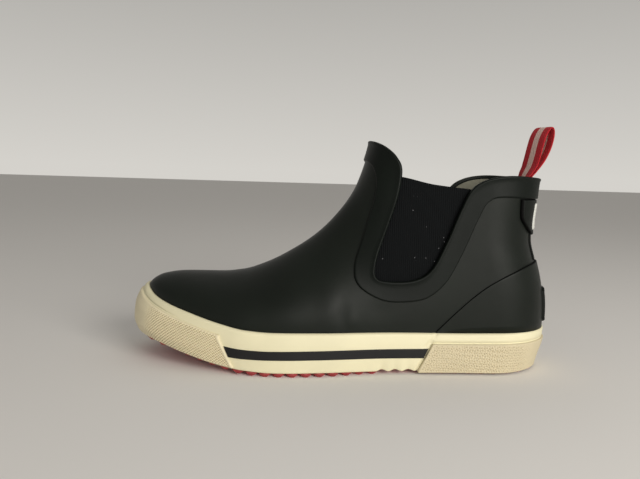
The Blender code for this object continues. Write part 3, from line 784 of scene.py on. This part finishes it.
# Pieces on the back: half-width by height, and how far out.
TAB_HALF, TAB_OUT = ((86.8, 11.5), (87.6, 14.0), (92.0, 21.0), (99.0, 25.2), (110.4, 26.2)), 2.3
STAY_HALF, STAY_OUT = ((70.6, 15.2), (72.4, 15.4), (86.2, 15.5), (88.5, 14.6)), 0.9
LABEL_HALF, LABEL_OUT = ((90.5, 16.0), (91.5, 16.5), (107.0, 16.5), (108.0, 16.0)), 3.0
KICK_HALF, KICK_OUT = ((29.6, 11.0), (32.5, 14.0), (49.5, 14.0), (52.6, 11.0)), 3.6
BACK_EDGE, LABEL_EDGE, KICK_EDGE = 0.9, 0.6, 1.4
BACK_COLUMNS, BACK_ROWS, KICK_ROWS = 60, 40, 90
BACK_SINK, BACK_WALL, BACK_ROUNDS = 0.4, 0.8, 4
KICK_GROOVES, KICK_GROOVE_DEPTH, KICK_GROOVE_REACH = (34.0, 48.2), 0.7, 0.7


def back_place(y, z):
    """The outside of the upper's back at places in back view."""
    x = smooth(BACK, z)
    for _ in range(BACK_ROUNDS):
        wide = np.where(y < 0, broad("lateral", x, z), broad("medial", x, z))
        bulge = round_end(np.abs(y - centre(x)), wide, HEEL_POWER)
        x = smooth(BACK, z) - HEEL_CAP * (1 - bulge)
    return np.stack([x, y, z], -1)


def back_piece(name, node, slot, half_rows, height, materials, rows=BACK_ROWS, relief=None, edge=BACK_EDGE):
    """A raised piece on the back: half-width by height in half_rows, with rounded edges and a relief."""
    low, high = half_rows[0][0], half_rows[-1][0]
    z = low + (high - low) * crowded(rows)
    across = 2 * crowded(BACK_COLUMNS) - 1
    half = smooth(half_rows, z)
    y, z = np.broadcast_arrays(half[:, None] * across, z[:, None])
    near = np.minimum(half[:, None] * (1 - np.abs(across)), np.minimum(z - low, high - z))
    offset = -BACK_SINK + (height + BACK_SINK) * rounded(near, edge)
    if relief:
        offset = offset + relief(z) * (near > edge)
    points = back_place(y, z) + normals(back_place, y, z) * offset[..., None]
    slots = None
    if len(materials) > 1:
        # Faces on the rounded edges take the second material, where one is given, as painted shade.
        corner = near[:-1, :-1] + near[1:, 1:]
        slots = (corner < edge).astype(int).reshape(-1)
    piece = make_piece(name, points, grid_faces(*y.shape), materials, node, slots)
    thicken(piece, min(height, BACK_WALL))


def kick_relief(z):
    return -KICK_GROOVE_DEPTH * sum(bell(z, groove, KICK_GROOVE_REACH) for groove in KICK_GROOVES)


def build_back():
    edge_shaded = [TRIM_BLACK, SEAM_SHADE_BLACK]
    back_piece("back_tab", "back_patch", "trim", TAB_HALF, TAB_OUT, edge_shaded)
    back_piece("back_stay", "back_strip", "trim", STAY_HALF, STAY_OUT, edge_shaded)
    back_piece("plain_label", "back_label", "label", LABEL_HALF, LABEL_OUT, [LABEL], edge=LABEL_EDGE)
    kick = ("kick_pad", "heel_kick", "trim", KICK_HALF, KICK_OUT, [TRIM_BLACK])
    back_piece(*kick, KICK_ROWS, kick_relief, KICK_EDGE)


# The elastic lies inside the upper, and its border goes into the upper's wall.
GORE_OUT, GORE_THICK, GORE_TUCK = -WALL - 0.7, 1.4, -0.2
GORE_TUCK_BAND, RIB_FADE = (0.8, 2.4), (3.0, 1.0)
RIB_PITCH, RIB_DEPTH = 1.3, 0.12
GORE_COLUMNS, GORE_ROWS = 330, 56


def build_gore(side):
    sign = -1 if side == "lateral" else 1

    def place(x, z):
        return np.stack([x, centre(x) + sign * half_width(side, x, z), z], -1)

    x = np.linspace(GORE_EDGE[3][0], GORE_EDGE[-1][0], GORE_COLUMNS)
    lowest = smooth(GORE_EDGE[3:], x)
    highest = smooth([*GORE_EDGE[3::-1], GORE_DIP, GORE_EDGE[-1]], x)
    share = np.linspace(0, 1, GORE_ROWS)[:, None]
    x, z = np.broadcast_arrays(x, lowest + (highest - lowest) * share)
    edge = spline_line(GORE_EDGE, EDGE_SAMPLES)
    near = np.hypot(x[..., None] - edge[:, 0], z[..., None] - edge[:, 1]).min(-1)
    inward = ease(near, *GORE_TUCK_BAND)
    ribs = RIB_DEPTH * ripple(x, RIB_PITCH) * ease(near, *RIB_FADE)
    offset = GORE_TUCK + (GORE_OUT - GORE_TUCK) * inward + ribs
    points = place(x, z) - sign * normals(place, x, z) * offset[..., None]
    faces = grid_faces(*x.shape, flip=side == "medial")
    gore = make_piece("elastic_" + side, points, faces, [ELASTIC], "gore_" + side)
    thicken(gore, GORE_THICK)


# Foxing: rows from the foot to the strips' top edge, a groove over that edge, and the lip, as shares of
# the height there and how far out from its own wall.
FOXING_FOOT_ROWS = ((0.0, -1.60), (0.0, -0.30), (0.012, -0.06), (0.035, 0.0))
FOXING_WALL_ROWS, FOXING_WALL_FROM = 18, 0.08
FOXING_GROOVE = ((0.006, 0.0), (0.014, 1.0), (0.026, 1.0), (0.036, 0.0))
FOXING_LIP = (
    (0.93, 0.05), (0.95, 0.12), (0.97, 0.12), (0.988, -0.05), (1.002, -0.5), (1.01, -1.2),
    (1.004, -2.1), (0.98, -2.6),
)
# Rows down the inside, how far out from the upper's hem they lie, and the lip's distance from the groove.
FOXING_INSIDE, FOXING_INSIDE_OUT, LIP_CLEAR = (0.9, 0.6, 0.3, 0.0), 0.1, 0.01
# The groove fades along the bumper, and over the plain wall the rows ease to its own top.
PLAIN_BLEND = 20.0
GROOVE_DEPTH, GROOVE_FADE, PLAIN_TOP = 0.55, (-118.0, 24.0), 0.72
SOLE_COLUMNS = 1000
SCALLOP, SCALLOP_PITCH, SCALLOP_MIDDLE, SCALLOP_FROM, SCALLOP_TO = 1.1, 8.5, 31.8, 17.0, 47.0
SCALLOP_IN, SCALLOP_OUT, SCALLOP_TOP = 6.0, 3.0, 0.14
SCALLOP_BULGE, SCALLOP_BULGE_TOP = 0.6, 0.45
# Creases on the outer side: two places (x, height share), reach and depth.
CREASES = (
    ((57.5, 0.99), (50.5, 0.66), 0.9, 0.70),
    ((54.3, 0.74), (45.6, 0.02), 1.1, 1.00),
)
# The wall's height that the creases' slant is reckoned at.
CREASE_TALL = 24.0


def strip_top(x):
    """Top edge of the bumper or the heel wrap beside a place, and whether there is one."""
    toe, heel = x < BUMPER_END[0], x > HEEL_END[0]
    top = np.where(toe, smooth(BUMPER_TOP, x), np.where(heel, HEEL_TOP, PLAIN_TOP))
    blend = ease(x, BUMPER_END[0], PLAIN_BLEND) * (1 - ease(x, HEEL_END[0] - PLAIN_BLEND, PLAIN_BLEND))
    edge = np.where(x < 0, BUMPER_TOP[-1][1], HEEL_TOP)
    return np.where(toe | heel, top, edge + (PLAIN_TOP - edge) * blend), toe | heel


def crease_depth(x, share, tall):
    depth = np.zeros(len(x))
    for (ax, ah), (bx, bh), reach, deep in CREASES:
        along = np.array((bx - ax, (bh - ah) * CREASE_TALL))
        offset_x, offset_z = x - ax, (share - ah) * tall
        t = np.clip((offset_x * along[0] + offset_z * along[1]) / (along @ along), 0, 1)
        gap = np.hypot(offset_x - t * along[0], offset_z - t * along[1])
        depth += deep * bell(gap, 0.0, reach)
    return depth


def build_foxing():
    turns = even_turns(SOLE_COLUMNS)
    base = outline(turns)
    x = base[:, 0]
    outer = np.sin(turns) > 0
    tall = base[:, 2] - section("lift", x) - FOXING_FOOT
    fade = ease(x, SCALLOP_TO - SCALLOP_OUT, SCALLOP_OUT)
    window = ease(x, SCALLOP_FROM, SCALLOP_IN) * (1 - fade) * outer
    notch = window * (0.5 + 0.5 * ripple(x - SCALLOP_MIDDLE, SCALLOP_PITCH))
    top, beside = strip_top(x)
    room = np.minimum(1, (1 - top - FOXING_GROOVE[-1][0] - LIP_CLEAR) / (1 - FOXING_LIP[0][0]))
    rows = [*FOXING_FOOT_ROWS]
    rows += [(top * share, 0.0) for share in np.linspace(FOXING_WALL_FROM, 1.0, FOXING_WALL_ROWS)]
    groove = GROOVE_DEPTH * beside * np.where(x < 0, 1 - ease(x, *GROOVE_FADE), 1)
    rows += [(top + share, -deep * groove) for share, deep in FOXING_GROOVE]
    lip = [(1 - (1 - share) * room, push) for share, push in FOXING_LIP]
    rows += [((rows[-1][0] + lip[0][0]) / 2, 0.0), *lip]
    rings = []
    for share, push in rows:
        dip = SCALLOP_BULGE * notch * (1 - ease(share, 0.0, SCALLOP_BULGE_TOP))
        push = push - (crease_depth(x, share, tall) + dip) * outer
        ring = wall(turns, share, FOXING_LEAN, push)
        ring[:, 2] += SCALLOP * notch * (1 - ease(share, 0.0, SCALLOP_TOP))
        rings.append(ring)
    rings += [wall(turns, height, LAST_LEAN, FOXING_INSIDE_OUT) for height in FOXING_INSIDE]
    faces = grid_faces(len(rings), SOLE_COLUMNS, True, True, flip=True)
    make_piece("foxing_wall", rings, faces, [CREAM], "foxing")


def slant(ends, top, side, clear=0.0):
    """The turn of a slanting end at a height share, from its x at the top and at the foot."""
    return lambda height: turn_at(np.interp(height, (BUMPER_FOOT, top), ends[::-1]) + clear, side)


PATTERN_SAMPLES, PATTERN_HEIGHT = 3000, 0.4
STRIP_SINK, STRIP_ROUNDS, STRIP_END_SHARES = 0.3, 3, (0.0, 0.001, 0.0022, 0.004)
STRIP_LAYER, STRIP_EDGE, STRIPE_LAYER, STRIPE_EDGE = 1.4, 0.6, 0.6, 0.4
# Columns and rows of each strip.
BUMPER_GRID, HEEL_GRID, STRIPE_GRID = (760, 92), (820, 58), (240, 14)


def wall_strip(names, ends, levels, materials, grid, relief=None, layer=STRIP_LAYER, edge=STRIP_EDGE):
    """A raised strip on the foxing, with slanting ends, rounded edges and a relief.

    The names are the piece's, its node's and its slot's; the slot's is not used. The ends are turns by
    height, and foot and top in levels are height shares by x. The relief takes the run from the strip's
    middle, the rise from its foot and the distances to its ends and top, and gives a height to add and where
    the second material lies.
    """
    (begin, end), (foot, top), (columns, rows) = ends, levels, grid
    name, node, slot = names
    share = crowded(rows)[:, None]
    across = crowded(columns, STRIP_END_SHARES)
    guess = np.interp(share, (0, 1), (foot(0.0), top(0.0)))
    for _ in range(STRIP_ROUNDS):
        turn = begin(guess) + (end(guess) - begin(guess)) * across
        x = outline(turn)[..., 0]
        height = foot(x) + (top(x) - foot(x)) * share
        guess = height.mean(1, keepdims=True)
    base = wall(turn, height, FOXING_LEAN)
    run, rise = path_length(base, 1), path_length(base)
    inside, left = np.minimum(run, run[:, -1:] - run), rise[-1:] - rise
    near = np.minimum(inside, np.minimum(rise, left))
    push = -STRIP_SINK + (layer + STRIP_SINK) * rounded(near, edge)
    slots = None
    if relief:
        level = np.linspace(turn.min(), turn.max(), PATTERN_SAMPLES)
        paced = path_length(wall(level, PATTERN_HEIGHT, FOXING_LEAN))
        added, deep = relief(np.interp(turn, level, paced) - paced[-1] / 2, rise, inside, left)
        push = push + added
        # A face gets the painted shade of the hollows where most of its corners are deep.
        deep = deep.astype(int)
        deep = deep[:-1, :-1] + deep[1:, :-1] + deep[:-1, 1:] + deep[1:, 1:] > 2
        slots = np.concatenate([deep.reshape(-1), np.zeros(turn.shape[1] + 1)])
    points = wall(turn, height, FOXING_LEAN, push)
    make_piece(name, points, tube_faces(*turn.shape, flip=True), materials, node, slots)


# Bumper's ribs: where they begin from the ends, the top, the foot and the tip, and the length to ease over.
KNURL_PITCH, KNURL_DEPTH, KNURL_CROSS, KNURL_DEEP = 2.0, 0.42, 0.34, -0.25
KNURL_ENDS, KNURL_TOP, KNURL_FOOT, KNURL_TIP = (1.9, 0.6), (0.3, 0.5), (0.3, 0.4), (25.0, 16.0)
KNURL_BORDER, KNURL_BORDER_RISE = (1.6, 0.6), 0.35
# Heel's grain: upright rows that sway and drift, beads along them, and where both begin.
PEBBLE_PITCH, PEBBLE_DEPTH, PEBBLE_DEEP = 1.6, 0.30, -0.45
PEBBLE_SWAY, PEBBLE_DRIFT, PEBBLE_LIFT = (0.4, 1.7), (0.6, 0.31), (0.3, 2.1)
PEBBLE_STRETCH, PEBBLE_ROW_SHARE, PEBBLE_BEAD_SHARE = 1.1, 0.6, 0.5
PEBBLE_BORDER, PEBBLE_BACK = (0.7, 0.6), (20.0, 25.0)
HEEL_FOOT = -0.045


def knurl(run, rise, ends, left):
    """Ribs that lean to the heel on both sides, notched the other way, with a smooth border and tip; deep
    grooves are marked for painted shade.
    """
    run = np.abs(run)
    ribs, notches = ripple(run - rise, KNURL_PITCH), ripple(run + rise, KNURL_PITCH)
    pattern = (1 - KNURL_CROSS) * ribs + KNURL_CROSS * notches
    mask = ease(ends, *KNURL_ENDS) * ease(left, *KNURL_TOP) * ease(rise, *KNURL_FOOT) * ease(run, *KNURL_TIP)
    border = KNURL_BORDER_RISE * (1 - ease(ends, *KNURL_BORDER))
    return KNURL_DEPTH * pattern * mask + border, pattern * mask < KNURL_DEEP


def swing(at, size, rate, shift=0.0):
    return size * np.sin(at * rate + shift)


def pebble(run, rise, ends, left):
    """Fine uneven pebbles in upright wavy rows, fading at the back; deep hollows are marked for painted
    shade.
    """
    sway = swing(rise, *PEBBLE_SWAY, swing(run, *PEBBLE_DRIFT))
    rows = ripple(run + sway, PEBBLE_PITCH)
    lift = swing(run, *PEBBLE_LIFT) + 0.5 * PEBBLE_PITCH * np.floor(run / PEBBLE_PITCH)
    beads = ripple(rise + lift, PEBBLE_PITCH * PEBBLE_STRETCH)
    pattern = PEBBLE_ROW_SHARE * rows + PEBBLE_BEAD_SHARE * beads
    border = np.minimum(ends, np.minimum(rise, left))
    mask = ease(border, *PEBBLE_BORDER) * ease(np.abs(run), *PEBBLE_BACK)
    return PEBBLE_DEPTH * pattern * mask, pattern * mask < PEBBLE_DEEP


def flat(value):
    return lambda x: np.full_like(x, value)


def graded(rows):
    return lambda x: smooth(rows, x)


def build_strips():
    edge = BUMPER_TOP[-1][1]
    wall_strip(
        ("toe_cap_bumper", "toe_bumper", "bumper"),
        [slant(BUMPER_END, edge, side) for side in SIDES],
        (flat(BUMPER_FOOT), graded(BUMPER_TOP)),
        [CREAM_GRAIN, CREAM_GROOVE_SHADE],
        BUMPER_GRID,
        knurl,
    )
    medial_end = slant(HEEL_END, HEEL_TOP, "medial")
    wall_strip(
        ("heel_wrap", "heel_foxing", "heel_foxing"),
        (lambda height: medial_end(height) - 2 * np.pi, slant(HEEL_END, HEEL_TOP, "lateral")),
        (flat(HEEL_FOOT), flat(HEEL_TOP)),
        [HEEL_CREAM, CREAM_SHADE],
        HEEL_GRID,
        pebble,
    )
    for side in SIDES:
        ends = [slant(HEEL_END, HEEL_TOP, side, -STRIPE_CLEAR), slant(BUMPER_END, edge, side, STRIPE_CLEAR)]
        wall_strip(
            ("side_stripe_" + side, "stripe_" + side, "stripe"),
            ends if side == "lateral" else ends[::-1],
            (graded(STRIPE_FOOT), graded(STRIPE_TOP)),
            [STRIPE_BLACK],
            STRIPE_GRID,
            layer=STRIPE_LAYER,
            edge=STRIPE_EDGE,
        )


def zigzag_bar(row_x, edge):
    """One bar of the tread across the sole, narrower at its foot, as (points, faces)."""
    half = len(edge) // 2
    lateral, medial = edge[: half + 1], edge[np.arange(len(edge), half - 1, -1) % len(edge)]
    y_low = np.interp(-row_x, -lateral[:, 0], lateral[:, 1])
    y_high = np.interp(-row_x, -medial[:, 0], medial[:, 1])
    y = np.linspace(y_low, y_high, max(LUG_LEAST_POINTS, round((y_high - y_low) / LUG_WAVE_STEP)))
    wave = LUG_WAVE * (-1.0) ** np.arange(len(y))
    rows = []
    for share, level in LUG_SECTION:
        x = row_x + wave + share * LUG_WIDTH
        rows.append(np.stack([x, y, section("lift", x) + level * (RIM_FOOT + LUG_SINK)], 1))
    return np.concatenate(rows), tube_faces(len(rows), len(y), flip=True)


# The rim draws back behind the scallops.
RIM_BACK, RIM_BACK_EASE = 4.0, 4.0


def build_outsole():
    turns = even_turns(SOLE_COLUMNS // 2)
    x = outline(turns)[:, 0]
    scalloped = ease(x, SCALLOP_FROM, RIM_BACK_EASE) * (1 - ease(x, SCALLOP_TO, RIM_BACK_EASE))
    rim = wall(turns, 0.0, FOXING_LEAN, -RIM_INSET - RIM_BACK * scalloped)
    rings = []
    for loop, level in ((rim, RIM_FOOT), (rim, RIM_TOP), (wall(turns, 0.0, LAST_LEAN, -TUCK), RIM_TOP)):
        ring = loop.copy()
        ring[:, 2] = level + section("lift", x)
        rings.append(ring)
    rings.append(wall(turns, 0.0, LAST_LEAN, -TUCK, bed_level(x)))
    points = [np.concatenate(rings)]
    faces = closed_faces(len(rings), len(turns))
    retreat = ease(x, *WAIST_RETREAT) + ease(-x, *TOE_RETREAT) - TIP_RETURN_SHARE * ease(-x, *TIP_RETURN)
    edge = wall(turns, 0.0, FOXING_LEAN, LUG_OUT - RIM_INSET - LUG_RETREAT * retreat)
    for start, count in LUG_ROWS:
        for k in range(count):
            bar, bar_faces = zigzag_bar(start + k * LUG_PITCH, edge)
            first = sum(map(len, points))
            points.append(bar)
            faces += [tuple(first + v for v in face) for face in bar_faces]
    make_piece("tread", np.concatenate(points), faces, [RED], "outsole")


# Footbed in section: inset from its edge and height share.
FOOTBED_SECTION = ((0.0, 0.0), (0.0, 0.7), (0.7, 0.92), (1.6, 1.0))
# The footbed's edge goes this far into the lining.
FOOTBED_REACH = 0.35


def build_insole():
    turns = even_turns(SOLE_COLUMNS // 2)
    x = outline(turns)[:, 0]
    low = bed_level(x) + GAP
    rings = []
    for inset, share in FOOTBED_SECTION:
        level = low + INSOLE_THICK * share
        rings.append(wall(turns, 0.0, LAST_LEAN, FOOTBED_REACH - WALL - inset, level))
    faces = closed_faces(len(rings), len(turns))
    make_piece("footbed", rings, faces, [FOOTBED], "insole")


WEB_STEPS, WEB_RIB, WEB_RIB_DEPTH = 22, 1.0, 0.06
WEB_ACROSS = np.concatenate([[-1.0, -0.985], np.linspace(-0.95, 0.95, 25), [0.985, 1.0]])
WEB_PALE_SHARE = 0.34
# The webbing's edge in section: how square it is, and its least thickness as a share.
WEB_SQUARE, WEB_LEAST = 8, 0.15


def build_loop():
    middle, wide, thick = webbing_frame(WEB_STEPS)
    rib = WEB_RIB_DEPTH * ripple(path_length(middle), WEB_RIB)
    plump = np.sqrt(np.clip(1 - np.abs(WEB_ACROSS) ** WEB_SQUARE, 0, 1)) * (1 - WEB_LEAST) + WEB_LEAST
    rings = []
    for side in (-1, 1):
        for share, full in zip(WEB_ACROSS[::side], plump[::side]):
            half = (LOOP_THICK / 2 - WEB_RIB_DEPTH + rib) * full
            rings.append(middle + wide * share * LOOP_WIDTH / 2 - thick * side * half[:, None])
    faces = tube_faces(len(rings), len(middle))
    across = np.concatenate([WEB_ACROSS, WEB_ACROSS[::-1]])
    between = (across + np.roll(across, -1)) / 2
    slots = band_slots(np.abs(between) < WEB_PALE_SHARE, len(middle))
    make_piece("webbing_loop", rings, faces, [WEB_RED, WEB_PALE], "pull_loop", slots)


build_upper()
build_trim()
build_counter()
build_back()
for gore_side in SIDES:
    build_gore(gore_side)
build_foxing()
build_strips()
build_outsole()
build_insole()
build_loop()


# Stage: pale floor and soft light, with the camera at the photo's place. The sky is brightest low down, as
# rows of (height of the direction, level), and each light has a name, a place, a size, a power and a colour.
FLOOR_SIZE, FLOOR_COLOUR, FLOOR_ROUGH = 12.0, (0.78, 0.76, 0.74), 0.9
SKY = ((0.0, 0.66), (0.4, 0.32), (1.0, 0.34))
SKY_TINT = (1.0, 0.97, 0.91)
LIGHTS = (
    ("key", (0.55, -0.95, 0.42), 0.6, 11.0, SKY_TINT),
    ("top", (0.1, 0.35, 1.0), 0.9, 0.35, (1.0, 0.98, 0.95)),
)
LIGHT_AIM = Vector((0.0, 0.0, 0.06))


def build_stage():
    bpy.ops.mesh.primitive_plane_add(size=FLOOR_SIZE, location=(0.0, 0.0, 0.0))
    floor = bpy.context.object
    floor.name = "floor"
    floor.data.materials.append(new_material("pale_floor", FLOOR_COLOUR, FLOOR_ROUGH))
    world = scene.world or bpy.data.worlds.new("studio")
    scene.world = world
    world.use_nodes = True
    nodes = Nodes(world, "Background", "Generated")
    height = nodes.add("ShaderNodeSeparateXYZ", {"Vector": nodes.place}).outputs["Z"]
    nodes.shade("Color", nodes.ramp(height, tinted(SKY, SKY_TINT)))
    for name, place, size, power, colour in LIGHTS:
        light = bpy.data.lights.new(name, "AREA")
        light.size = size
        light.energy = power
        light.color = colour
        lamp = add_object(name, light)
        lamp.location = place
        lamp.rotation_euler = (LIGHT_AIM - Vector(place)).to_track_quat("-Z", "Y").to_euler()


CAMERA_PLACE, CAMERA_AIM, CAMERA_ROLL = (-27.2, -430.1, 124.4), (0.0266, 0.9941, -0.1052), 1.71
CAMERA_LENS, CAMERA_SENSOR, CAMERA_NEAREST = 36.56, 36.0, 0.01


def build_camera():
    camera = add_object("camera", bpy.data.cameras.new("camera"))
    camera.data.lens = CAMERA_LENS
    camera.data.sensor_width = CAMERA_SENSOR
    camera.data.clip_start = CAMERA_NEAREST
    look = Vector(CAMERA_AIM).to_track_quat("-Z", "Y").to_matrix().to_4x4()
    place = Matrix.Translation((np.array(CAMERA_PLACE) + SHIFT) * MM)
    camera.matrix_world = place @ look @ Matrix.Rotation(math.radians(CAMERA_ROLL), 4, "Z")
    scene.camera = camera


build_stage()
build_camera()
scene.view_settings.view_transform = "Standard"
